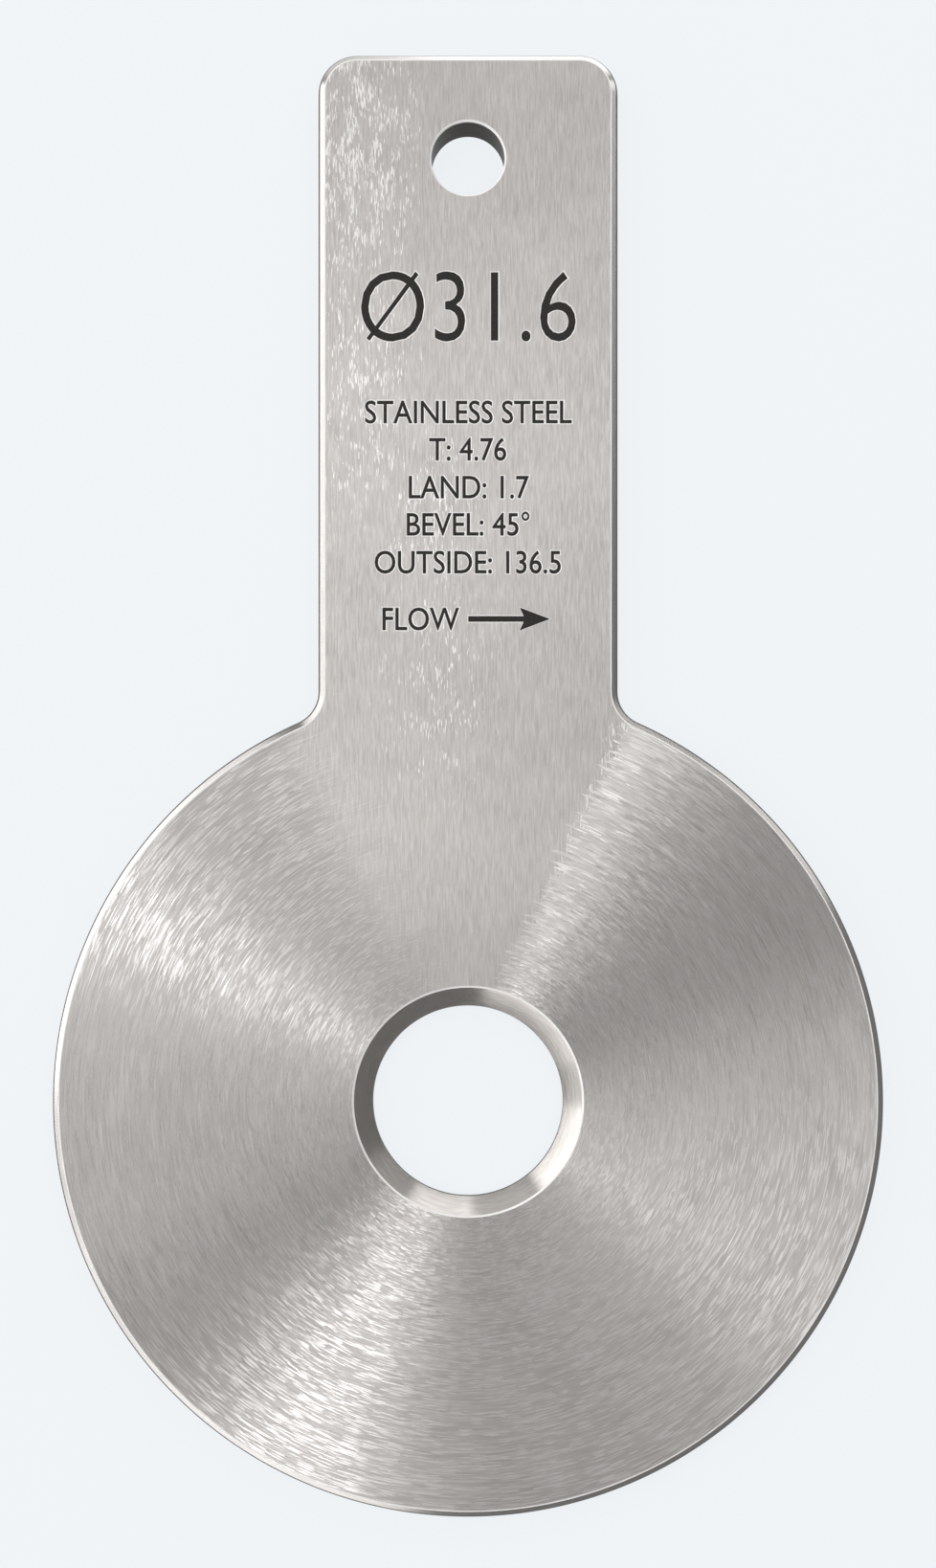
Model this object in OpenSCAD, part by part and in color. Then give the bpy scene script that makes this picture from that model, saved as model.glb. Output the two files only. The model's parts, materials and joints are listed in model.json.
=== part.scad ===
// Paddle orifice plate for a flanged pipe joint, one piece of stainless steel plate.
// The plate lies on its upstream face, with the bore axis on Z and the tab along +Y.
// The origin is on the bore axis, in the upstream face.

/* [Disc] */
// Outside diameter of the disc, which drops inside the ring of flange bolts
disc_d = 136.5; // [110:0.5:180]
// Thickness of the plate
plate_t = 4.76; // [4:0.01:12]

/* [Bore] */
// Diameter of the bore at its square upstream edge
bore_d = 31.6; // [10:0.1:70]
// Length of the straight bore, from the upstream face to the start of the bevel
bore_land = 1.7; // [0.5:0.05:3]
// Angle between the bevel and the bore axis
bevel_angle = 45; // [30:1:60]

/* [Tab] */
// Width of the tab
tab_w = 49.2; // [25:0.1:75]
// Distance from the bore axis to the far end of the tab
tab_reach = 171.8; // [120:0.1:240]
// Radius of the two corners at the end of the tab
tab_corner_r = 6.35; // [3:0.05:12]
// Radius of the fillets where the sides of the tab run into the disc
neck_r = 5.6; // [2:0.1:20]

/* [Hanging hole] */
// Diameter of the hole that the plate hangs from
hole_d = 12; // [6:0.1:18]
// Distance from the end of the tab to the centre of the hole
hole_inset = 17.2; // [12:0.1:30]
// Width of the broken edge at each end of the hole
hole_break = 0.3; // [0.1:0.05:1]

/* [Edges] */
// Radius of the rounded edges round the outline, on both faces
edge_r = 1.1; // [0.3:0.05:2]

/* [Hidden] */
$fn = 128;

// How far a cut runs past the face that it opens
past = 1;

disc_r = disc_d / 2;
tab_half = tab_w / 2;
tab_straight_end = tab_reach - tab_corner_r;
corner_x = tab_half - tab_corner_r;
hole_y = tab_reach - hole_inset;

// A neck fillet touches the side of the tab and the rim of the disc, which places its centre
neck_x = tab_half + neck_r;
neck_y = sqrt(pow(disc_r + neck_r, 2) - pow(neck_x, 2));

// Section of the plate from an inner line out to an edge, rounded on both faces
module edge_section(reach) {
    square([reach - edge_r, plate_t]);
    translate([0, edge_r])
        square([reach, plate_t - 2 * edge_r]);
    for (height = [edge_r, plate_t - edge_r])
        translate([reach - edge_r, height])
            circle(edge_r);
}

// Section across the tab, with the edge on both sides
module tab_section() {
    edge_section(tab_half);
    mirror([1, 0])
        edge_section(tab_half);
}

module disc() {
    rotate_extrude()
        edge_section(disc_r);
}

// What a neck fillet leaves open: a round gap that flares at both faces
module neck_gap() {
    rotate_extrude()
        difference() {
            translate([0, -past])
                square([neck_r + edge_r, plate_t + 2 * past]);
            translate([neck_r, edge_r])
                square([2 * edge_r, plate_t - 2 * edge_r]);
            for (height = [edge_r, plate_t - edge_r])
                translate([neck_r + edge_r, height])
                    circle(edge_r);
        }
}

// The metal between the disc and the tab, with a fillet on each side
module neck() {
    difference() {
        linear_extrude(plate_t)
            polygon([[0, 0], [neck_x, neck_y], [-neck_x, neck_y]]);
        for (side = [-1, 1])
            translate([side * neck_x, neck_y])
                neck_gap();
    }
}

module tab() {
    translate([0, tab_straight_end])
        rotate([90, 0, 0])
            linear_extrude(tab_straight_end)
                tab_section();
    translate([-corner_x, tab_straight_end - tab_corner_r])
        rotate([90, 0, 90])
            linear_extrude(2 * corner_x)
                edge_section(2 * tab_corner_r);
    for (side = [-1, 1])
        translate([side * corner_x, tab_straight_end])
            rotate_extrude()
                edge_section(tab_corner_r);
}

// Straight bore with a square upstream edge, opened by the bevel towards the downstream face
module bore() {
    bore_r = bore_d / 2;
    rise = plate_t - bore_land + past;
    rotate_extrude()
        polygon([
            [0, -past],
            [bore_r, -past],
            [bore_r, bore_land],
            [bore_r + rise * tan(bevel_angle), plate_t + past],
            [0, plate_t + past]
        ]);
}

module hanging_hole() {
    hole_r = hole_d / 2;
    mouth_r = hole_r + hole_break + past;
    translate([0, hole_y])
        rotate_extrude()
            polygon([
                [0, -past],
                [mouth_r, -past],
                [hole_r, hole_break],
                [hole_r, plate_t - hole_break],
                [mouth_r, plate_t + past],
                [0, plate_t + past]
            ]);
}

module orifice_plate() {
    color("silver")
        difference() {
            union() {
                disc();
                neck();
                tab();
            }
            bore();
            hanging_hole();
        }
}

orifice_plate();
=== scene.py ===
# %% [markdown]
# # A paddle orifice plate in brushed stainless steel
# An orifice plate is a flat disc with an exact hole. It is clamped between two pipe flanges, and the
# pressure lost across the hole tells how fast the fluid runs. The tab sticks out of the joint, so that
# a fitter can read the marking and see which way the plate faces.
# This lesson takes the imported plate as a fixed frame, builds its skin again with fine edges and an
# engraved marking, and gives each machined surface its own finish.

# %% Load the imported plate
import json
import math

import bmesh
import bpy
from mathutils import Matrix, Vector
from mathutils.geometry import delaunay_2d_cdt, interpolate_bezier


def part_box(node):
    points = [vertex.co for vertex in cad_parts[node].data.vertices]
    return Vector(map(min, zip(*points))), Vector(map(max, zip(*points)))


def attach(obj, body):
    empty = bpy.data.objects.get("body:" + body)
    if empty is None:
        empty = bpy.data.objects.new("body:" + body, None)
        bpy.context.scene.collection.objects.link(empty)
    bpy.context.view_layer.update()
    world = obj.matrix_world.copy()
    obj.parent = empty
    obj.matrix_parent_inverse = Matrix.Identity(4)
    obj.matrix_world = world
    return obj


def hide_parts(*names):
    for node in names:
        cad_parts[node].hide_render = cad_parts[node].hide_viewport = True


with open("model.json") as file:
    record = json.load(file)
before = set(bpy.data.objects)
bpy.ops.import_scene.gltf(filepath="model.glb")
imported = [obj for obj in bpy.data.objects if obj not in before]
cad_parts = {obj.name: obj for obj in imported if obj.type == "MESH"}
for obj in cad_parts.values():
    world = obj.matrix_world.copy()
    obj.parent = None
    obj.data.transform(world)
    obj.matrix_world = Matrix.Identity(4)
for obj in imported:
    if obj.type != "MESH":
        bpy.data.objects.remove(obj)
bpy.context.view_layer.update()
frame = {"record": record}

# %% [markdown]
# ## The sizes
# A fitter checks a plate against its drawing: disc, bore, thickness and tab. All of that could be typed in
# here, but the frame already knows the plate's box and its two bores, and a copy could drift away from it.
# So those sizes are read from the frame, and only what it doesn't say is written here, in millimetres.

# %% Sizes of the plate
MM = 0.001
plate_low, plate_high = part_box("orifice_plate")
mounts = {mount["name"]: mount for mount in frame["record"]["mounts"]}
bore_size = mounts["orifice_bore"]["dims"]
hole_size = mounts["hanging_hole"]["dims"]

disc_r = -plate_low.y
plate_t = plate_high.z
tab_reach = plate_high.y
bore_r = bore_size["r_mm"] * MM
bore_land = bore_size["length_mm"] * MM
hole_r = hole_size["r_mm"] * MM
hole_y = mounts["hanging_hole"]["pos_m"][1]
hole_break = (plate_t - hole_size["length_mm"] * MM) / 2

tab_half = 49.2 * MM / 2
tab_corner_r = 6.35 * MM
neck_r = 5.6 * MM
edge_r = 1.1 * MM
bevel_angle = 45
bevel_r = bore_r + (plate_t - bore_land) * math.tan(math.radians(bevel_angle))

neck_x = tab_half + neck_r
neck_y = math.sqrt((disc_r + neck_r) ** 2 - neck_x ** 2)
print("disc", round(2 * disc_r / MM, 2), "mm across,", round(plate_t / MM, 2), "mm thick")

# %% [markdown]
# ## The outline
# The plate is cut from sheet along arcs and straight lines that run into each other: the disc, two hollow
# neck fillets, the sides of the tab and its round corners. A Bezier curve could follow them, but arcs from
# centre and radius are exact. Each point keeps the direction that looks out of the metal, so that the
# edge can be set in from the outline by the same amount everywhere.

# %% Outline points
LONGEST_STEP = 1.2 * MM
WIDEST_TURN = math.radians(6)


def arc(centre, radius, start, end, out=1):
    """Points along an arc, each with its outward direction; a hollow arc has out = -1."""
    turn = end - start
    steps = math.ceil(max(abs(turn) * radius / LONGEST_STEP, abs(turn) / WIDEST_TURN))
    points = []
    for step in range(steps + 1):
        angle = start + turn * step / steps
        way = Vector((math.cos(angle), math.sin(angle)))
        points.append((Vector(centre) + radius * way, out * way))
    return points


neck_turn = math.atan2(neck_y, neck_x)
corner_x = tab_half - tab_corner_r
corner_y = tab_reach - tab_corner_r
outline = arc((neck_x, neck_y), neck_r, math.pi + neck_turn, math.pi, out=-1)
outline += arc((corner_x, corner_y), tab_corner_r, 0, math.pi / 2)
outline += arc((-corner_x, corner_y), tab_corner_r, math.pi / 2, math.pi)
outline += arc((-neck_x, neck_y), neck_r, 0, -neck_turn, out=-1)[:-1]
outline += arc((0, 0), disc_r, math.pi - neck_turn, 2 * math.pi + neck_turn)[:-1]
print("outline:", len(outline), "points")

# %% [markdown]
# ## What the tab says
# The tab of such a plate tells the fitter what is hidden in the joint: the bore first and largest, then the
# plate's own sizes, and the way the fluid flows. The words could be typed in whole, but here each number
# comes from the size it names, so the marking stays true. The arrow is one half, mirrored.

# %% Lines of the marking
cap = 3.6 * MM
title_cap = 11.4 * MM
# What a stroke gains over the font's on each side; the large title's strokes lose a little
STROKE_GAIN = 0.05 * MM
TITLE_GAIN = -0.1 * MM
# Words, height of a capital, middle of the base line, and gain of the strokes
marking_lines = [
    (f"Ø{2 * bore_r / MM:.1f}", title_cap, (0, 124.6 * MM), TITLE_GAIN),
    ("STAINLESS STEEL", cap, (0, 111.2 * MM), STROKE_GAIN),
    (f"T: {plate_t / MM:.2f}", cap, (0, 105.1 * MM), STROKE_GAIN),
    (f"LAND: {bore_land / MM:.1f}", cap, (0, 98.9 * MM), STROKE_GAIN),
    (f"BEVEL: {bevel_angle}°", cap, (0, 92.8 * MM), STROKE_GAIN),
    (f"OUTSIDE: {2 * disc_r / MM:.1f}", cap, (0, 86.6 * MM), STROKE_GAIN),
    ("FLOW", cap, (-7.9 * MM, 77.3 * MM), STROKE_GAIN),
]
arrow_y = 79.1 * MM
arrow_tail, arrow_tip = 0.1 * MM, 13.4 * MM
shaft_half, head_half = 0.42 * MM, 1.85 * MM
head_x, barb_x = 9.2 * MM, 8.5 * MM
half_arrow = [(arrow_tail, -shaft_half), (head_x, -shaft_half), (barb_x, -head_half)]
arrow = half_arrow + [(arrow_tip, 0)] + [(x, -y) for x, y in reversed(half_arrow)]
print("marking:", [words for words, _, _, _ in marking_lines])

# %% [markdown]
# ## Letters as outlines
# On the real tab the letters are cut by a small engraving tool. They could be a picture on the surface, but
# a cut groove has walls that catch the light from any side. So the outlines are taken from Blender's own
# font, whose plain sans letters are near an engraver's, and made a little narrower.

# %% Letter outlines
# Height of a capital as a share of the font's size, and the width kept
CAP_SHARE = 0.682
LETTER_SQUEEZE = 0.86
CURVE_STEPS = 5
SHORTEST_EDGE = 0.02 * MM


def drop_repeats(points):
    """The loop without points that lie on their neighbour."""
    return [
        point for place, point in enumerate(points)
        if (point - points[place - 1]).length > SHORTEST_EDGE
    ]


def letter_loops(text, cap_height, middle):
    """Closed outlines of a centred line of text, in metres."""
    words = bpy.data.curves.new("marking_words", "FONT")
    words.body = text
    words.align_x = "CENTER"
    words.size = cap_height / CAP_SHARE
    holder = bpy.data.objects.new("marking_words", words)
    bpy.context.scene.collection.objects.link(holder)
    curve = holder.to_curve(bpy.context.evaluated_depsgraph_get())
    loops = []
    for spline in curve.splines:
        knots = spline.bezier_points
        loop = []
        for here, there in zip(knots, list(knots[1:]) + [knots[0]]):
            span = interpolate_bezier(here.co, here.handle_right, there.handle_left, there.co, CURVE_STEPS)
            loop += [Vector((middle[0] + LETTER_SQUEEZE * p.x, middle[1] + p.y)) for p in span[:-1]]
        loops.append(drop_repeats(loop))
    bpy.data.objects.remove(holder)
    bpy.data.curves.remove(words)
    return loops


marks = [(letter_loops(words, height, middle), gain) for words, height, middle, gain in marking_lines]
marks.append(([[Vector((x, arrow_y + y)) for x, y in arrow]], STROKE_GAIN))
print("font outlines:", sum(len(loops) for loops, _ in marks))

# %% [markdown]
# ## Strokes of the right weight
# An engraved groove is wider at its mouth than at its floor, because the tool is a cone. The font gives one
# outline, so the floor and the mouth are that outline moved sideways by two amounts. Blender's curve offset
# could do this, but it rounds the corners away. Here each point moves along the middle of its corner.

# %% Floors and mouths of the grooves
# Width of a groove's sloping wall, seen from above
GROOVE_WALL = 0.16 * MM
# Keeps the point of a sharp corner from running far away
SHARPEST_CORNER = 0.3


def signed_area(loop):
    """Area of a loop, positive where it runs anticlockwise."""
    return sum(loop[place - 1].cross(point) for place, point in enumerate(loop)) / 2


def moved_left(loop, distance):
    """The loop with each point moved to its left, which is into the stroke of a letter."""
    moved = []
    for place, point in enumerate(loop):
        before = (point - loop[place - 1]).normalized()
        after = (loop[(place + 1) % len(loop)] - point).normalized()
        left = Vector((-before.y - after.y, before.x + after.x)) / 2
        moved.append(point + left / max(left.length_squared, SHARPEST_CORNER) * distance)
    return moved


floor_loops, mouth_loops = [], []
for loops, gain in marks:
    if sum(signed_area(loop) for loop in loops) < 0:
        loops = [loop[::-1] for loop in loops]
    floor_loops.append([moved_left(loop, -gain) for loop in loops])
    mouth_loops.append([moved_left(loop, -gain - GROOVE_WALL) for loop in loops])
print("groove walls:", round(GROOVE_WALL / MM, 2), "mm wide in plan")

# %% [markdown]
# ## Clean outlines
# Where strokes meet, as in a K or an R, an outline that was moved can cross itself. The real tool just cuts
# the same metal twice. A boolean would solve that in 3D, but slowly and with slivers. In the plane, a
# triangulation splits every crossing, and a count of how often the outlines run round each triangle says
# whether it is cut away. The border of what is cut away is the clean outline.

# %% Outlines round the strokes
# Points that lie closer than this are one point to the triangulation
TOUCH = 1e-9


def windings(spot, loops):
    """How often the loops run round a spot, all together."""
    turns = 0
    for loop in loops:
        for place, point in enumerate(loop):
            before = loop[place - 1]
            if (before.y <= spot.y) != (point.y <= spot.y):
                along = (spot.y - before.y) / (point.y - before.y)
                if before.x + along * (point.x - before.x) > spot.x:
                    turns += 1 if point.y > before.y else -1
    return turns


def stroke_rims(loops):
    """Clean outlines round the strokes, where the loops may cross themselves or each other."""
    points, edges = [], []
    for loop in loops:
        first = len(points)
        points += loop
        edges += [(first + place, first + (place + 1) % len(loop)) for place in range(len(loop))]
    spots, _, triangles, _, _, _ = delaunay_2d_cdt(points, edges, [], 0, TOUCH)
    sides = set()
    for corners in triangles:
        middle = (spots[corners[0]] + spots[corners[1]] + spots[corners[2]]) / 3
        if windings(middle, loops) > 0:
            sides.update(zip(corners, corners[1:] + corners[:1]))
    border = {}
    for here, there in sorted(sides):
        if (there, here) not in sides:
            border.setdefault(here, []).append(there)
    rims = []
    while border:
        spot = min(border)
        rim = []
        while spot in border:
            rim.append(spots[spot])
            onward = border[spot].pop()
            if not border[spot]:
                del border[spot]
            spot = onward
        rims.append(drop_repeats(rim))
    return rims


groove_floors = [rim for loops in floor_loops for rim in stroke_rims(loops)]
groove_mouths = [rim for loops in mouth_loops for rim in stroke_rims(loops)]
print("grooves:", len(groove_mouths), "clean outlines")

# %% [markdown]
# ## The dressed edge
# The rim of the real plate was sawn, rounded and then dressed by hand, so that its upper corner breaks the
# light on narrow facets. A bevel modifier could round it, but the CAD mesh has long thin faces, which show
# in a reflection. So the skin is built again from the same sizes. Each step of the edge's section is a ring
# along the outline, at its own inset and height, and quads join the rings.

# %% Edge rings
# The machined surfaces, numbered in the order of their finishes
FACE, EDGE, SIDE, BEVEL, WALL, RIM, FILL = range(7)
EDGE_STEPS = 12
# How far inside the outline the flat face ends and the dressing starts
RIM_INSET = 1.25 * MM
# Width in millimetres and slope in degrees of each facet, from the face outward
DRESSED_FACETS = ((0.2, 5), (0.72, 28), (0.28, 50))
skin = bmesh.new()


def ring(points, height):
    """A closed ring of vertices at one height."""
    return [skin.verts.new((point.x, point.y, height)) for point in points]


def stack(rings, finish):
    """Quads from each ring to the next, all with one finish."""
    for lower, upper in zip(rings, rings[1:]):
        for place in range(len(lower)):
            corners = (lower[place - 1], lower[place], upper[place], upper[place - 1])
            skin.faces.new(corners).material_index = finish


# Each step has an inset from the outline, and a height above the lower face or a drop below the upper one
lower_edge = []
for step in range(EDGE_STEPS + 1):
    turn = math.pi / 2 * step / EDGE_STEPS
    lower_edge.append((edge_r * (1 - math.sin(turn)), edge_r * (1 - math.cos(turn))))
upper_edge = [(RIM_INSET, 0)]
for width, slope in DRESSED_FACETS:
    inset, drop = upper_edge[-1]
    upper_edge.append((inset - width * MM, drop + width * MM * math.tan(math.radians(slope))))
upper_edge.append((0, edge_r))
edge_section = lower_edge + [(inset, plate_t - drop) for inset, drop in reversed(upper_edge)]
edge_loops = [[point - inset * out for point, out in outline] for inset, _ in edge_section]
edge_rings = [ring(loop, height) for loop, (_, height) in zip(edge_loops, edge_section)]
# The side and the outer facets take the sawn finish, whose dark tone partly paints their shade
stack(edge_rings[:-2], SIDE)
stack(edge_rings[-3:-1], EDGE)
# The inner facet takes the rim finish, whose nearly white tone paints a highlight
stack(edge_rings[-2:], RIM)
print("edge:", len(edge_rings), "rings,", len(skin.faces), "quads")

# %% [markdown]
# ## The bore and the hanging hole
# The bore meters the flow, so it is turned on a lathe: a sharp square edge upstream, a short straight land,
# and a bevel that opens downstream, with a thin deburred rim. The hanging hole is drilled, and both its ends
# are broken with a countersink. Booleans could cut them, but rings of points give even quads, which a
# reflection follows without a flaw.

# %% Rings of the bore and the hole
BORE_STEPS = 192
# Half the width of the rim that deburring leaves between the bevel and the face
RIM_BREAK = 0.16 * MM
# The hole's upper countersink is rounded over a knee, at these shares of its width and its depth
KNEE_OUT, KNEE_DROP = 1 / 4, 1 / 3


def circle(centre_y, radius):
    """Points round a bore, clockwise, so that its wall looks at the axis."""
    turns = [-2 * math.pi * step / BORE_STEPS for step in range(BORE_STEPS)]
    return [Vector((radius * math.cos(turn), centre_y + radius * math.sin(turn))) for turn in turns]


mouth_r = hole_r + hole_break
bevel_foot = (bore_r, bore_land)
bevel_top = (bevel_r - RIM_BREAK, plate_t - RIM_BREAK)
rim_outside = (bevel_r + RIM_BREAK, plate_t)
hole_top = (hole_r, plate_t - hole_break)
hole_knee = (hole_r + KNEE_OUT * hole_break, plate_t - KNEE_DROP * hole_break)
# The walls take the drilled finish, whose nearly black tone paints their shade
bore_sections = [
    (0, [(bore_r, 0), bevel_foot], WALL),
    (0, [bevel_foot, bevel_top], BEVEL),
    (0, [bevel_top, rim_outside], RIM),
    (hole_y, [(hole_r, hole_break), hole_top], WALL),
    (hole_y, [(mouth_r, 0), (hole_r, hole_break)], RIM),
    (hole_y, [hole_top, hole_knee, (mouth_r, plate_t)], RIM),
]
# Rims and countersinks take the rim finish, whose nearly white tone paints a highlight
for centre_y, section, finish in bore_sections:
    stack([ring(circle(centre_y, radius), height) for radius, height in section], finish)
print("bevel: from", round(2 * bore_r / MM, 1), "to", round(2 * bevel_r / MM, 1), "mm across")

# %% [markdown]
# ## The flat faces and the grooves
# What is left is flat: the two faces, the floors of the grooves and their sloping walls. Blender could fill
# them as many-sided faces, but those break up badly round letters. A constrained triangulation keeps every
# outline, and for each triangle it tells which loops cover it, so a short rule picks the ones wanted.

# %% Faces, floors and walls
GROOVE_DEPTH = 0.07 * MM
# Points that lie closer than this are joined, so that the surfaces meet in one closed skin
WELD = 0.0005 * MM
# The first three loops of each flat face
OUTLINE_LOOP, BORE_LOOP, HOLE_LOOP = range(3)


def fill(levels, wanted, finish, upward=True):
    """Fills between loops, at one or more heights, with triangles wherever wanted says so."""
    points, faces, heights = [], [], []
    for loops, height in levels:
        for loop in loops:
            turned = loop if signed_area(loop) > 0 else loop[::-1]
            faces.append(list(range(len(points), len(points) + len(turned))))
            points += turned
            heights += [height] * len(turned)
    spots, _, triangles, origins, _, inside = delaunay_2d_cdt(points, [], faces, 0, TOUCH)
    verts = [skin.verts.new((spot.x, spot.y, heights[origin[0]])) for spot, origin in zip(spots, origins)]
    for triangle, covers in zip(triangles, inside):
        if wanted(covers):
            corners = triangle if upward else triangle[::-1]
            skin.faces.new([verts[corner] for corner in corners]).material_index = finish


def plain_metal(covers):
    """True inside the outline, outside the bores and outside the letters' strokes."""
    in_bore = BORE_LOOP in covers or HOLE_LOOP in covers
    return OUTLINE_LOOP in covers and not in_bore and len(covers) % 2 == 1


def groove_floor(covers):
    """True inside a stroke of the floor of the marking."""
    return len(covers) % 2 == 1


def groove_wall(covers):
    """True inside the mouth of a stroke but outside its floor; the mouths are the first loops."""
    in_mouths = sum(1 for cover in covers if cover < len(groove_mouths))
    return in_mouths % 2 == 1 and (len(covers) - in_mouths) % 2 == 0


groove_z = plate_t - GROOVE_DEPTH
upper_loops = [edge_loops[-1], circle(0, rim_outside[0]), circle(hole_y, mouth_r)] + groove_mouths
lower_loops = [edge_loops[0], circle(0, bore_r), circle(hole_y, mouth_r)]
fill([(upper_loops, plate_t)], plain_metal, FACE)
fill([(lower_loops, 0)], plain_metal, FACE, upward=False)
fill([(groove_floors, groove_z)], groove_floor, FILL)
# The groove walls take the rim finish, whose nearly white tone paints a thin highlight round each stroke
fill([(groove_mouths, plate_t), (groove_floors, groove_z)], groove_wall, RIM)
bmesh.ops.remove_doubles(skin, verts=skin.verts, dist=WELD)
print("skin:", len(skin.faces), "faces,", sum(not seam.is_manifold for seam in skin.edges), "open seams")

# %% [markdown]
# ## One piece
# The real plate is one piece of steel, so the skin is one mesh. Shading is smooth round the bores and the
# rim, and it has to break where two machined surfaces meet. A modifier could find those lines later, but
# marking them on the mesh goes with it into any export. The piece stands for the CAD node and rides with it.

# %% The engraved plate
# Surfaces that meet at a wider angle than this meet in a crisp line
CRISP = math.radians(12)
for face in skin.faces:
    face.smooth = face.material_index not in (FACE, FILL, RIM)
for seam in skin.edges:
    seam.smooth = len(seam.link_faces) == 2 and seam.calc_face_angle() < CRISP

plate_mesh = bpy.data.meshes.new("engraved_plate")
skin.to_mesh(plate_mesh)
skin.free()
plate = bpy.data.objects.new("engraved_plate", plate_mesh)
bpy.context.scene.collection.objects.link(plate)
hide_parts("orifice_plate")
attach(plate, "root")
print("engraved_plate:", len(plate_mesh.vertices), "vertices")

# %% [markdown]
# ## Colours and nodes
# The eye reads a colour as sRGB, so colours are written that way, in hex. Light adds up in linear values,
# and one function turns a code into them. Nodes could be joined by hand in the editor, but in a script one
# small function that adds a node with its settings and links lets a material read as a list of steps.
# A Mix node has a pair of sockets for each kind of value, so their places get names.

# %% Helpers for materials
FROM_NUMBER, TO_NUMBER, FROM_VECTOR, TO_VECTOR, FROM_COLOUR, TO_COLOUR = range(2, 8)
MIXED_NUMBER, MIXED_VECTOR, MIXED_COLOUR = range(3)


def linear(code):
    """A hex colour as linear red, green, blue and alpha, by the sRGB curve."""
    parts = [int(code[place:place + 2], 16) / 255 for place in (1, 3, 5)]
    return [part / 12.92 if part <= 0.04045 else ((part + 0.055) / 1.055) ** 2.4 for part in parts] + [1]


def add(tree, kind, inputs=None, **settings):
    """Adds a node, sets it up, and fills its inputs with values or with other nodes' outputs."""
    node = tree.nodes.new(kind)
    for name, value in settings.items():
        setattr(node, name, value)
    for name, value in (inputs or {}).items():
        if isinstance(value, bpy.types.NodeSocket):
            tree.links.new(value, node.inputs[name])
        else:
            node.inputs[name].default_value = value
    return node


def new_material(name):
    """An empty material, with its node tree."""
    material = bpy.data.materials.new(name)
    material.use_nodes = True
    material.node_tree.nodes.clear()
    return material, material.node_tree


print("mid grey #808080 is", round(linear("#808080")[0], 3), "in linear light")

# %% [markdown]
# ## Brushed stainless steel: which way it is brushed
# The faces were dressed with an abrasive wheel: round the bore on the disc, and lengthwise on the tab and
# on a fan of the disc below it. Fine scratches spread light across themselves and hardly along themselves,
# which is why such a disc shows bright bow ties that point at the lamps. UV maps could carry the direction,
# but here it follows from the place on the plate, so the material works it out in millimetres.
# The fan's border isn't ruled: on its right each pass of the wheel ends a little early or late, and on its
# left the two directions run into each other softly.

# %% Direction of the brushing
# The fan is a wedge about its middle line. Its half-width is its slope times the height above the bore
# axis, less the setback, in millimetres
FAN_MIDDLE = -2.0
FAN_SLOPE = 0.503
FAN_SETBACK = 2.6
# Spacing of the passes that end at each border, and how far they stray over it
RIGHT_PASS, LEFT_PASS = 0.6, 0.1
RIGHT_STRAY, LEFT_STRAY = 9.0, 36.0
# Less detail than a noise has by itself, so that the ends of the passes stay apart
PASS_DETAIL = 1
# A noise runs from 0 to 1, about this middle
NOISE_MIDDLE = 0.5

brushed, tree = new_material("wheel_brushed_stainless_steel")
where = add(tree, "ShaderNodeTexCoord").outputs["Object"]
in_mm = add(tree, "ShaderNodeVectorMath", {0: where, "Scale": 1 / MM}, operation="SCALE").outputs[0]
axes = add(tree, "ShaderNodeSeparateXYZ", {0: in_mm}).outputs
flat = add(tree, "ShaderNodeCombineXYZ", {"X": axes["X"], "Y": axes["Y"]}).outputs[0]
radius = add(tree, "ShaderNodeVectorMath", {0: flat}, operation="LENGTH").outputs["Value"]
outward = add(tree, "ShaderNodeVectorMath", {0: flat}, operation="NORMALIZE").outputs[0]

aside = add(tree, "ShaderNodeMath", {0: axes["X"], 1: FAN_MIDDLE}, operation="SUBTRACT").outputs[0]
on_right = add(tree, "ShaderNodeMath", {0: aside, 1: 0}, operation="GREATER_THAN").outputs[0]
pass_rate = add(tree, "ShaderNodeMapRange", {
    "Value": on_right, "To Min": 1 / LEFT_PASS, "To Max": 1 / RIGHT_PASS,
}).outputs[0]
longest_stray = add(tree, "ShaderNodeMapRange", {
    "Value": on_right, "To Min": LEFT_STRAY, "To Max": RIGHT_STRAY,
}).outputs[0]
passes = add(tree, "ShaderNodeMath", {0: radius, 1: pass_rate}, operation="MULTIPLY").outputs[0]
pass_end = add(tree, "ShaderNodeTexNoise", {
    "W": passes, "Scale": 1, "Detail": PASS_DETAIL,
}, noise_dimensions="1D").outputs["Fac"]
stray = add(tree, "ShaderNodeMath", {0: pass_end, 1: NOISE_MIDDLE}, operation="SUBTRACT").outputs[0]
half_width = add(tree, "ShaderNodeMath", {0: aside}, operation="ABSOLUTE").outputs[0]
past_wedge = add(tree, "ShaderNodeMath", {
    0: axes["Y"], 1: -FAN_SLOPE, 2: half_width,
}, operation="MULTIPLY_ADD").outputs[0]
past_border = add(tree, "ShaderNodeMath", {
    0: stray, 1: longest_stray, 2: past_wedge,
}, operation="MULTIPLY_ADD").outputs[0]
lengthwise = add(tree, "ShaderNodeMath", {
    0: past_border, 1: -FAN_SETBACK,
}, operation="LESS_THAN").outputs[0]
straight_across = add(tree, "ShaderNodeMix", {
    0: lengthwise, FROM_VECTOR: outward, TO_VECTOR: (1, 0, 0),
}, data_type="VECTOR").outputs[MIXED_VECTOR]
print("the fan starts", round(FAN_SETBACK / FAN_SLOPE, 1), "mm above the bore axis")

# %% [markdown]
# ## Brushed stainless steel: the grinding lines
# Each grain of the wheel leaves a long shallow line. Real lines lie about 0.03 mm apart, far below a pixel
# here, so they are drawn at 0.25 mm, as coarse as they need to be to show. Geometry would take millions of
# faces, so the lines are a noise that is stretched along the brushing and read as height.
# Lines round the bore and lines along the tab get a bump each, because one height that jumped at the border
# would be shaded as a cliff.

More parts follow.
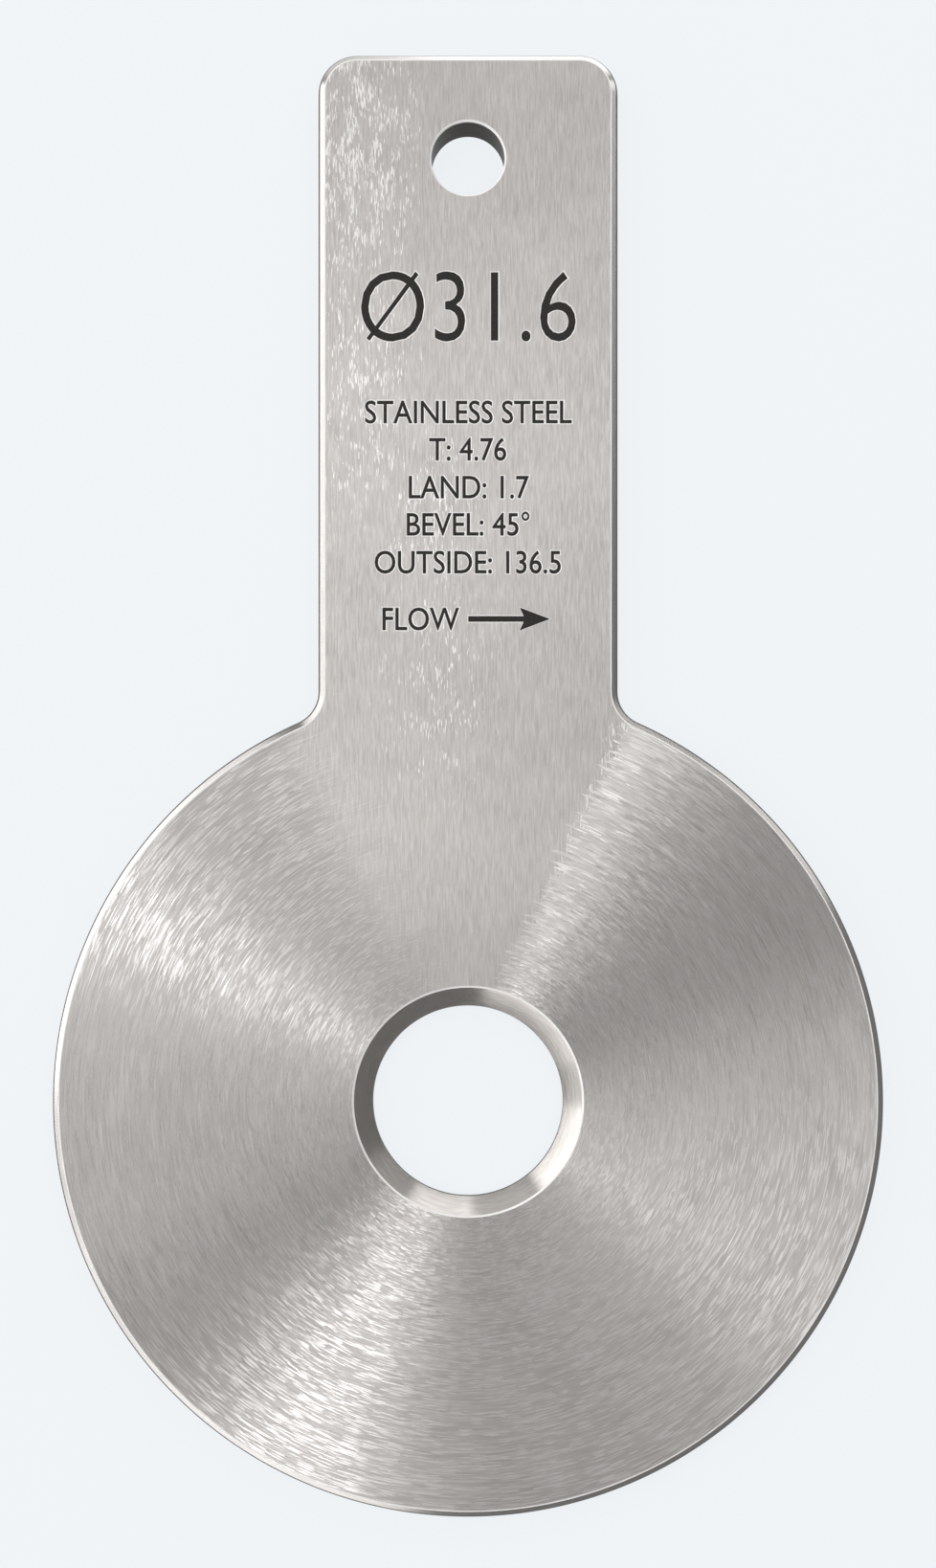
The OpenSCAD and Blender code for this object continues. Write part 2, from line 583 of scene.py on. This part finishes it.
# %% Grinding lines
LINE_PITCH = 0.25
LINE_LENGTH = 4.5
LINE_DEPTH = 0.008 * MM
# Radius at which a line round the bore has its stated length
MIDDLE_RADIUS = 38.0


# In both functions a shift reads another part of the noise, so that two patterns of like size differ
def round_the_bore(pitch, length, shift=0):
    """Where to read a pattern whose lines run round the bore, with sizes in millimetres."""
    turns = add(tree, "ShaderNodeVectorMath", {
        0: outward, "Scale": MIDDLE_RADIUS / length,
    }, operation="SCALE")
    rise = add(tree, "ShaderNodeMath", {0: radius, 1: 1 / pitch, 2: shift}, operation="MULTIPLY_ADD")
    lift = add(tree, "ShaderNodeCombineXYZ", {"Z": rise.outputs[0]})
    return add(tree, "ShaderNodeVectorMath", {0: turns.outputs[0], 1: lift.outputs[0]}).outputs[0]


def along_the_tab(pitch, length, shift=0):
    """Where to read a pattern whose lines run along the tab, with sizes in millimetres."""
    return add(tree, "ShaderNodeVectorMath", {
        0: flat, 1: (1 / pitch, 1 / length, 0), 2: (shift, shift, shift),
    }, operation="MULTIPLY_ADD").outputs[0]


line_slopes = []
for brushing in (round_the_bore, along_the_tab):
    line_place = brushing(LINE_PITCH, LINE_LENGTH)
    line_height = add(tree, "ShaderNodeTexNoise", {"Vector": line_place, "Scale": 1}).outputs["Fac"]
    line_slope = add(tree, "ShaderNodeBump", {"Height": line_height, "Distance": LINE_DEPTH})
    line_slopes.append(line_slope.outputs[0])
face_normal = add(tree, "ShaderNodeMix", {
    0: lengthwise, FROM_VECTOR: line_slopes[0], TO_VECTOR: line_slopes[1],
}, data_type="VECTOR").outputs[MIXED_VECTOR]
print("grinding lines:", LINE_PITCH, "mm apart,", LINE_LENGTH, "mm long")

# %% [markdown]
# ## Brushed stainless steel: single scratches
# Among the even lines some scratches are deeper and smoother, and a little askew, so they flash where the
# steel around them is dull. Deeper bumps would turn such a scratch dark as often as bright. So the face is
# split into long thin cells, and each cell draws its own luck: a share of them is smoother, and each is
# turned by a few degrees. The tab was dressed more evenly, so its scratches are calmer.

# %% Scratches
# A real scratch is about 0.05 mm wide, too fine to show here, so it is drawn nearly three times as wide
SCRATCH_PITCH = 0.14
SCRATCH_LENGTH = 1.5
SCRATCH_SHIFT = 80
SCRATCH_TURN = math.radians(7)
BRIGHT_SHARE = 0.25
TAB_CALM = 0.3
FACE_ROUGHNESS, SCRATCH_ROUGHNESS = 0.38, 0.28


def along_brushing(pitch, length, shift=0, stretch=1):
    """Where to read a pattern whose lines follow the brushing, stretch times as long on the disc."""
    return add(tree, "ShaderNodeMix", {
        0: lengthwise,
        FROM_VECTOR: round_the_bore(pitch, stretch * length, shift),
        TO_VECTOR: along_the_tab(pitch, length, shift),
    }, data_type="VECTOR").outputs[MIXED_VECTOR]


scratch_place = along_brushing(SCRATCH_PITCH, SCRATCH_LENGTH, SCRATCH_SHIFT)
scratch_cells = add(tree, "ShaderNodeTexVoronoi", {"Vector": scratch_place, "Scale": 1}).outputs["Color"]
luck = add(tree, "ShaderNodeSeparateColor", {0: scratch_cells}).outputs
calm = add(tree, "ShaderNodeMapRange", {"Value": lengthwise, "To Min": 1, "To Max": TAB_CALM}).outputs[0]
is_bright = add(tree, "ShaderNodeMath", {
    0: luck["Red"], 1: 1 - BRIGHT_SHARE,
}, operation="GREATER_THAN").outputs[0]
bright = add(tree, "ShaderNodeMath", {0: is_bright, 1: calm}, operation="MULTIPLY").outputs[0]
face_roughness = add(tree, "ShaderNodeMix", {
    0: bright, FROM_NUMBER: FACE_ROUGHNESS, TO_NUMBER: SCRATCH_ROUGHNESS,
}).outputs[MIXED_NUMBER]
full_turn = add(tree, "ShaderNodeMapRange", {
    "Value": luck["Green"], "To Min": -SCRATCH_TURN, "To Max": SCRATCH_TURN,
}).outputs[0]
scratch_turn = add(tree, "ShaderNodeMath", {0: full_turn, 1: calm}, operation="MULTIPLY").outputs[0]
across = add(tree, "ShaderNodeVectorRotate", {
    "Vector": straight_across, "Angle": scratch_turn,
}, rotation_type="Z_AXIS").outputs[0]
askew = round(math.degrees(SCRATCH_TURN))
print("scratches:", SCRATCH_PITCH, "by", SCRATCH_LENGTH, "mm, askew by up to", askew, "degrees")

# %% [markdown]
# ## Brushed stainless steel: its tone
# Stainless steel is a warm pale grey, and no two lines reflect quite alike. One flat grey would look like
# paint. So the tone runs along the grinding lines between two greys, faint clouds the size of a thumb print
# shift it, and the bright scratches are paler.

# %% Tone of the lines
TINT_SHIFT = 40
CLOUD_SIZE = 12
CLOUD_SHARE = 0.3
# Sums of line and cloud at which the tone is darkest and palest
DARKEST_SUM, PALEST_SUM = 0.3, 1.0
tint_place = along_brushing(LINE_PITCH, LINE_LENGTH, TINT_SHIFT)
tints = add(tree, "ShaderNodeTexNoise", {"Vector": tint_place, "Scale": 1}).outputs["Fac"]
clouds = add(tree, "ShaderNodeTexNoise", {"Vector": flat, "Scale": 1 / CLOUD_SIZE}).outputs["Fac"]
tint_sum = add(tree, "ShaderNodeMath", {
    0: clouds, 1: CLOUD_SHARE, 2: tints,
}, operation="MULTIPLY_ADD").outputs[0]
paleness = add(tree, "ShaderNodeMapRange", {
    "Value": tint_sum, "From Min": DARKEST_SUM, "From Max": PALEST_SUM,
}).outputs[0]
line_tone = add(tree, "ShaderNodeMix", {
    0: paleness, FROM_COLOUR: linear("#ACA8A5"), TO_COLOUR: linear("#D6D2CF"),
}, data_type="RGBA").outputs[MIXED_COLOUR]
scratch_tone = add(tree, "ShaderNodeMix", {
    0: bright, FROM_COLOUR: line_tone, TO_COLOUR: linear("#DDDAD8"),
}, data_type="RGBA").outputs[MIXED_COLOUR]
print("tone: clouds of", CLOUD_SIZE, "mm over lines of", LINE_PITCH, "mm")

# %% [markdown]
# ## Brushed stainless steel: painted glints
# Pale flecks in the steel's colour paint glints: clusters on the tab, and sparks in the bands round the bore
# where the lamps draw their streaks. Being colour, they stay pale under any lamp. Scattered evenly they
# would look like dust. So two tools say where flecks are likely: a colour ramp by the angle round the bore,
# and soft ellipses on the tab. A coarse noise breaks both into patches, and then each small cell draws its
# luck against the sum.

# %% Where painted glints are likely
# Angle round the bore from +X in degrees, and how likely a painted glint is there
PAINTED_GLINT_BANDS = (
    (-126, 0), (-118, 0.24), (-110, 0.24), (-103, 0), (-42, 0), (-30, 0.13), (-18, 0),
    (52, 0), (63, 0.26), (69, 0.26), (70, 0), (140, 0), (149, 0.24), (154, 0.24), (165, 0),
)
# Centre and half-size of each cluster in millimetres, and how likely a painted glint fleck is in its middle
PAINTED_GLINT_SPOTS = (
    ((-18.5, 156), (9, 18), 0.6),
    ((-18, 118), (8, 20), 0.32),
    ((-6, 96), (7, 13), 0.29),
    ((-5, 68), (9, 16), 0.24),
)
# A cluster fades from its core to its edge, as shares of its half-size
SPOT_CORE, SPOT_EDGE = 0.1, 1.5

angle = add(tree, "ShaderNodeMath", {0: axes["Y"], 1: axes["X"]}, operation="ARCTAN2").outputs[0]
round_share = add(tree, "ShaderNodeMapRange", {
    "Value": angle, "From Min": -math.pi, "From Max": math.pi,
}).outputs[0]
painted_glint_bands = add(tree, "ShaderNodeValToRGB", {0: round_share})
# A new ramp ends in white, and this one ends in black, where no glint is likely
painted_glint_bands.color_ramp.elements[1].color = linear("#000000")
for degrees, share in PAINTED_GLINT_BANDS:
    painted_glint_bands.color_ramp.elements.new((degrees + 180) / 360).color = (share, share, share, 1)
likely = painted_glint_bands.outputs[0]
for centre, half_size, share in PAINTED_GLINT_SPOTS:
    off_centre = add(tree, "ShaderNodeVectorMath", {
        0: flat, 1: (*centre, 0),
    }, operation="SUBTRACT").outputs[0]
    in_sizes = add(tree, "ShaderNodeVectorMath", {
        0: off_centre, 1: (*half_size, 1),
    }, operation="DIVIDE").outputs[0]
    distance = add(tree, "ShaderNodeVectorMath", {0: in_sizes}, operation="LENGTH").outputs["Value"]
    cluster = add(tree, "ShaderNodeMapRange", {
        "Value": distance, "From Min": SPOT_EDGE, "From Max": SPOT_CORE, "To Max": share,
    }).outputs[0]
    likely = add(tree, "ShaderNodeMath", {0: cluster, 1: likely}, operation="MAXIMUM").outputs[0]
print("likely places:", len(PAINTED_GLINT_SPOTS), "clusters and", len(PAINTED_GLINT_BANDS), "points of the glint ramp")

# %% Patches and single painted glints
PATCH_WIDE, PATCH_LONG = 2, 4
# Noise values between which a patch goes from bare to full
PATCH_LOW, PATCH_HIGH = 0.38, 0.6
# A painted glint fleck stands for one grinding line, too fine to show here, so it is drawn four times as
# wide
FLECK_PITCH = 0.12
FLECK_LENGTH = 1.1
FLECK_SHIFT = 120
# Painted glints on the disc are longer than those on the tab
GLINT_STRETCH = 2.2
# A painted glint is the paler, the further its sum lies above 1, up to this much
FLECK_FADE = 0.08

patch_place = along_brushing(PATCH_WIDE, PATCH_LONG)
patch_noise = add(tree, "ShaderNodeTexNoise", {"Vector": patch_place, "Scale": 1}).outputs["Fac"]
patchy = add(tree, "ShaderNodeMapRange", {
    "Value": patch_noise, "From Min": PATCH_LOW, "From Max": PATCH_HIGH,
}).outputs[0]
fleck_place = along_brushing(FLECK_PITCH, FLECK_LENGTH, FLECK_SHIFT, GLINT_STRETCH)
fleck_cells = add(tree, "ShaderNodeTexVoronoi", {"Vector": fleck_place, "Scale": 1}).outputs["Color"]
fleck_luck = add(tree, "ShaderNodeSeparateColor", {0: fleck_cells}).outputs["Red"]
painted_glint_sum = add(tree, "ShaderNodeMath", {
    0: likely, 1: patchy, 2: fleck_luck,
}, operation="MULTIPLY_ADD").outputs[0]
painted_glint = add(tree, "ShaderNodeMapRange", {
    "Value": painted_glint_sum, "From Min": 1, "From Max": 1 + FLECK_FADE,
}).outputs[0]
print("flecks:", FLECK_PITCH, "by", FLECK_LENGTH, "mm, and", GLINT_STRETCH, "times as long on the disc")

# %% [markdown]
# ## Brushed stainless steel: the finished face
# On the real face the lines and scratches are all one skin of metal, and the painted glints lie in its
# colour.
# Each could have a shader of its own, mixed in by a mask, but they differ only in tone, gloss and direction.
# So one metal shader takes them all, and its anisotropy draws every highlight out across the brushing.

# %% Steel face
FACE_ANISOTROPY = 0.9
# Painted glints: where their mask is set, the colour turns nearly white, a highlight painted into the steel
face_tone = add(tree, "ShaderNodeMix", {
    0: painted_glint, FROM_COLOUR: scratch_tone, TO_COLOUR: linear("#F4F2F0"),
}, data_type="RGBA").outputs[MIXED_COLOUR]
# Satin metal whose highlights stretch across the brushing: to the eye, streaks that fan out from the bore
satin = add(tree, "ShaderNodeBsdfPrincipled", {
    "Base Color": face_tone, "Metallic": 1, "Roughness": face_roughness, "Anisotropic": FACE_ANISOTROPY,
    "Tangent": across, "Normal": face_normal,
}).outputs[0]
add(tree, "ShaderNodeOutputMaterial", {"Surface": satin})
print("wheel_brushed_stainless_steel:", len(tree.nodes), "nodes")

# %% [markdown]
# ## Machined stainless steel
# The other surfaces were turned, drilled, sawn or deburred. All of these leave fine rings or lines that run
# round the plate at one height, so one recipe serves: a noise that is long in X and Y and short in Z, read
# both as tone and as height. Each finish could have its own nodes, but what tells them apart is only how
# dark and rough they are and how far apart their tool lines lie. Some of these tones paint light: the dark
# sawn side and drilled walls paint shade, and the pale rims paint a highlight. Real tool lines lie about
# 0.1 mm apart, too fine to show here, so they are drawn two or three times as coarse.

# %% Machined finishes
# Length in millimetres over which a tool line fades into the next
TOOL_LINE_LENGTH = 3


def machined_steel(name, dark, light, roughness, pitch, depth):
    """Steel with tool lines at the given pitch and depth in millimetres."""
    material, steel = new_material(name)
    spot = add(steel, "ShaderNodeTexCoord").outputs["Object"]
    per_metre = (1 / (TOOL_LINE_LENGTH * MM), 1 / (TOOL_LINE_LENGTH * MM), 1 / (pitch * MM))
    place = add(steel, "ShaderNodeVectorMath", {0: spot, 1: per_metre}, operation="MULTIPLY").outputs[0]
    tool_lines = add(steel, "ShaderNodeTexNoise", {"Vector": place, "Scale": 1}).outputs["Fac"]
    tone = add(steel, "ShaderNodeMix", {
        0: tool_lines, FROM_COLOUR: linear(dark), TO_COLOUR: linear(light),
    }, data_type="RGBA").outputs[MIXED_COLOUR]
    bump = add(steel, "ShaderNodeBump", {"Height": tool_lines, "Distance": depth * MM}).outputs[0]
    metal = add(steel, "ShaderNodeBsdfPrincipled", {
        "Base Color": tone, "Metallic": 1, "Roughness": roughness, "Normal": bump,
    }).outputs[0]
    add(steel, "ShaderNodeOutputMaterial", {"Surface": metal})
    print(name, "has tool lines", pitch, "mm apart")
    return material


# Burnished by the deburring tool: a smooth line that mirrors the lamps along the edge
deburred_edge = machined_steel(
    "deburred_edge_steel", "#AEABA8", "#C4C1BE", roughness=0.2, pitch=0.25, depth=0.002,
)
# Sawn and left, so dull; its dark tone is partly the sawn steel's own and partly painted shade on the side
# and the outer facets, so the plate's thickness reads as a dark line
sawn_side_painted_shade = machined_steel(
    "sawn_side_steel_painted_shade", "#55514E", "#7A7673", roughness=0.5, pitch=0.3, depth=0.01,
)
# Turned with a fine feed: rings that mirror the room as light and dark stretches
turned_bevel = machined_steel(
    "turned_bevel_steel", "#9E9A96", "#C0BCB8", roughness=0.22, pitch=0.22, depth=0.006,
)
# Drilled or bored: a nearly black tone that paints the shade inside the bore and the hole, with a grey sheen
drilled_wall_painted_shade = machined_steel(
    "drilled_wall_steel_painted_shade", "#302D2A", "#4C4845", roughness=0.45, pitch=0.3, depth=0.01,
)
# Wire-brushed and matt; its nearly white tone paints a highlight, pale from every side, so rims and groove
# walls draw a thin light line
rim_painted_highlight = machined_steel(
    "wire_brushed_rim_steel_painted_highlight", "#ECEBEA", "#FAF9F8", roughness=0.9, pitch=0.3, depth=0.002,
)

# %% [markdown]
# ## Black enamel in the grooves
# The engraver wipes black enamel over the tab, and it stays in the grooves. It dries matt and slightly
# uneven. A plain black would do from afar, but close up it would look like a hole, so specks about 0.3 mm
# wide shift it between two greys. Enamel has an IOR near 1.5, but the wiped surface is so matt that only a
# little gloss is left.

# %% Marking fill and the finishes in their order
ENAMEL_SPECK = 0.3 * MM
ENAMEL_ROUGHNESS = 0.7
ENAMEL_GLOSS = 0.2
wiped_enamel, tree = new_material("wiped_black_enamel")
spot = add(tree, "ShaderNodeTexCoord").outputs["Object"]
specks = add(tree, "ShaderNodeTexNoise", {"Vector": spot, "Scale": 1 / ENAMEL_SPECK}).outputs["Fac"]
enamel_tone = add(tree, "ShaderNodeMix", {
    0: specks, FROM_COLOUR: linear("#161514"), TO_COLOUR: linear("#363432"),
}, data_type="RGBA").outputs[MIXED_COLOUR]
# Soot black without a highlight, so the letters stay dark under every lamp
soot = add(tree, "ShaderNodeBsdfPrincipled", {
    "Base Color": enamel_tone, "Roughness": ENAMEL_ROUGHNESS, "Specular IOR Level": ENAMEL_GLOSS,
}).outputs[0]
add(tree, "ShaderNodeOutputMaterial", {"Surface": soot})

# In the order of FACE, EDGE, SIDE, BEVEL, WALL, RIM and FILL
finishes = [brushed, deburred_edge, sawn_side_painted_shade, turned_bevel, drilled_wall_painted_shade, rim_painted_highlight, wiped_enamel]
for finish in finishes:
    plate_mesh.materials.append(finish)
print("finishes:", [material.name for material in plate_mesh.materials])

# %% [markdown]
# ## The floor
# The plate can't stand, so it lies on a plain pale board. More light could turn the board white, but it
# would burn out the steel too. So the board mostly glows with its own colour wherever the camera or a
# reflection sees it, and the rest of it is an ordinary matt surface, which keeps the plate's soft shadow.

# %% Pale board
# The stage is large, so its sizes are in metres
FLOOR_R = 2.8
FLOOR_GAP = 0.02 * MM
FLOOR_CODE = "#F0F4F7"
FLOOR_GLOW = 0.93
FLOOR_SEGMENTS = 96
floor_mesh = bpy.data.meshes.new("pale_floor")
floor_shape = bmesh.new()
bmesh.ops.create_circle(floor_shape, cap_ends=True, segments=FLOOR_SEGMENTS, radius=FLOOR_R)
floor_shape.to_mesh(floor_mesh)
floor_shape.free()
floor = bpy.data.objects.new("pale_floor", floor_mesh)
floor.location.z = -FLOOR_GAP
bpy.context.scene.collection.objects.link(floor)

# Painted board without any gloss: an even pale ground on which only the soft shadow shows
pale, tree = new_material("matt_pale_board")
path = add(tree, "ShaderNodeLightPath").outputs
seen = path["Is Camera Ray"]
for other_ray in (path["Is Glossy Ray"], path["Is Transmission Ray"]):
    seen = add(tree, "ShaderNodeMath", {0: seen, 1: other_ray}, operation="MAXIMUM").outputs[0]
glow_share = add(tree, "ShaderNodeMath", {0: seen, 1: FLOOR_GLOW}, operation="MULTIPLY").outputs[0]
board = add(tree, "ShaderNodeBsdfDiffuse", {"Color": linear(FLOOR_CODE)}).outputs[0]
glow = add(tree, "ShaderNodeEmission", {"Color": linear(FLOOR_CODE), "Strength": 1}).outputs[0]
glowing_board = add(tree, "ShaderNodeMixShader", {0: glow_share, 1: board, 2: glow}).outputs[0]
add(tree, "ShaderNodeOutputMaterial", {"Surface": glowing_board})
floor_mesh.materials.append(pale)
print("floor:", 2 * FLOOR_R, "m across")

# %% [markdown]
# ## The light tent
# Metal shows what stands around it, so a photographer puts such a plate in a tent of white cloth. Without
# it the steel would mirror an empty world. A plain sphere that glows faintly does it, and the camera looks
# through it.

# %% Tent
TENT_R = 2.9
TENT_LEVEL = 0.29
TENT_SEGMENTS = 48
tent_mesh = bpy.data.meshes.new("light_tent")
tent_shape = bmesh.new()
bmesh.ops.create_uvsphere(tent_shape, u_segments=TENT_SEGMENTS, v_segments=TENT_SEGMENTS // 2, radius=TENT_R)
bmesh.ops.reverse_faces(tent_shape, faces=tent_shape.faces)
tent_shape.to_mesh(tent_mesh)
tent_shape.free()
tent = bpy.data.objects.new("light_tent", tent_mesh)
bpy.context.scene.collection.objects.link(tent)
tent.visible_camera = False

# Woven white cloth lit from outside: to the steel, an even haze without an edge
cloth, tree = new_material("white_tent_cloth")
haze = add(tree, "ShaderNodeEmission", {"Color": linear("#FFFFFF"), "Strength": TENT_LEVEL}).outputs[0]
add(tree, "ShaderNodeOutputMaterial", {"Surface": haze})
tent_mesh.materials.append(cloth)
print("tent:", TENT_LEVEL, "of white")

# %% [markdown]
# ## The lamps
# On brushed steel a lamp draws a streak through the bore, square to the brushing, so each streak on the real
# plate tells where a lamp or a window stood. One large lamp would give an even sheen without them. So
# narrow softboxes draw the bright streaks, wider and weaker ones fill in the tones between, and low cards
# light what leans outward: the bevel and the dressed edge.

# %% Softboxes and cards
LAMP_DISTANCE = 1.5
# The lamps look at a point of the disc between the bore and the tab
target = Vector((0, 30 * MM, 0))
# Name, compass angle from +X, height angle, spread across and upward, all in degrees, and brightness
STREAK_SOFTBOXES = (
    ("key_softbox", 160.5, 64, 6.5, 22, 4.7),
    ("lower_left_softbox", 247.5, 64, 6.5, 22, 4.6),
    ("upper_left_fill", 120, 62.5, 18, 22, 1.9),
    ("lower_right_fill", 327, 61, 14, 22, 1.5),
    ("upper_right_fill", 65, 63.5, 9, 22, 1.7),
    ("lower_fill", 288, 61, 24, 22, 0.38),
)
TAB_SOFTBOXES = (
    ("tab_side_softbox", 67.5, 33.5, 25, 14, 4.9),
    ("tab_side_top", 67.5, 39, 11.5, 18, 2.6),
    ("right_fill", 357, 47, 18, 20, 2.0),
    ("left_fill", 192, 35, 36, 28, 2.8),
)
EDGE_CARDS = (
    ("low_left_card", 157, 10, 48, 20, 2.9),
    ("left_edge_card", 150, 25, 54, 10, 1.9),
    ("low_middle_card", 194, 9, 26, 18, 1.3),
    ("low_front_card", 234, 9, 56, 18, 2.2),
    ("low_tab_card", 108, 6, 40, 12, 1.0),
    ("low_tab_side_card", 74, 5, 36, 10, 2.6),
    ("upper_right_edge_card", 39, 15.5, 25, 10, 2.0),
)


def lamp(name, azimuth, elevation, wide, tall, radiance):
    """A soft box that looks at the plate; radiance 1 is as bright as white paper."""
    light = bpy.data.lights.new(name, "AREA")
    light.shape = "RECTANGLE"
    light.size = 2 * LAMP_DISTANCE * math.tan(math.radians(wide / 2))
    light.size_y = 2 * LAMP_DISTANCE * math.tan(math.radians(tall / 2))
    light.energy = math.pi * light.size * light.size_y * radiance
    turn, rise = math.radians(azimuth), math.radians(elevation)
    way = Vector((math.cos(rise) * math.cos(turn), math.cos(rise) * math.sin(turn), math.sin(rise)))
    holder = bpy.data.objects.new(name, light)
    holder.location = target + LAMP_DISTANCE * way
    holder.rotation_euler = way.to_track_quat("Z", "Y").to_euler()
    holder.visible_camera = False
    bpy.context.scene.collection.objects.link(holder)


lamps = STREAK_SOFTBOXES + TAB_SOFTBOXES + EDGE_CARDS
for settings in lamps:
    lamp(*settings)
print("lamps:", len(lamps))

# %% [markdown]
# ## The surroundings
# In a studio a sheet of paper as pale as the board would hang behind it. Such a sheet would need a place for
# every view, so here the world itself takes the board's colour. The camera sees it through the tent, and
# the tent keeps it off the steel.

# %% World
world = bpy.data.worlds.new("pale_surroundings")
world.use_nodes = True
bpy.context.scene.world = world
backdrop = world.node_tree.nodes["Background"].inputs
backdrop["Color"].default_value = linear(FLOOR_CODE)
backdrop["Strength"].default_value = 1
print("world:", FLOOR_CODE)

# %% [markdown]
# ## The camera
# The plate lies flat, so the camera looks straight down on it, with up in the picture along the tab. A
# tilted camera could centre the plate too, but then the disc would turn into an oval. One that stays square
# and shifts its lens, as an architect's does, keeps every circle round. A short lens shows a little of the
# walls of the bore and of the hanging hole.

# %% Camera
# Lens and sensor in millimetres, as on a real camera, and the shift as a share of the sensor
LENS = 35
SENSOR = 36
CAMERA_SHIFT = 0.147
NEAREST = 10 * MM
camera_height = 249.7 * MM
camera_y = 14.3 * MM
camera = bpy.data.objects.new("camera", bpy.data.cameras.new("camera"))
camera.data.lens = LENS
camera.data.sensor_width = SENSOR
camera.data.shift_y = CAMERA_SHIFT
camera.data.clip_start = NEAREST
camera.location = (0, camera_y, plate_t + camera_height)
bpy.context.scene.collection.objects.link(camera)
bpy.context.scene.camera = camera
bpy.context.scene.view_settings.view_transform = "Standard"
print("camera:", round(camera_height / MM, 1), "mm above the plate")
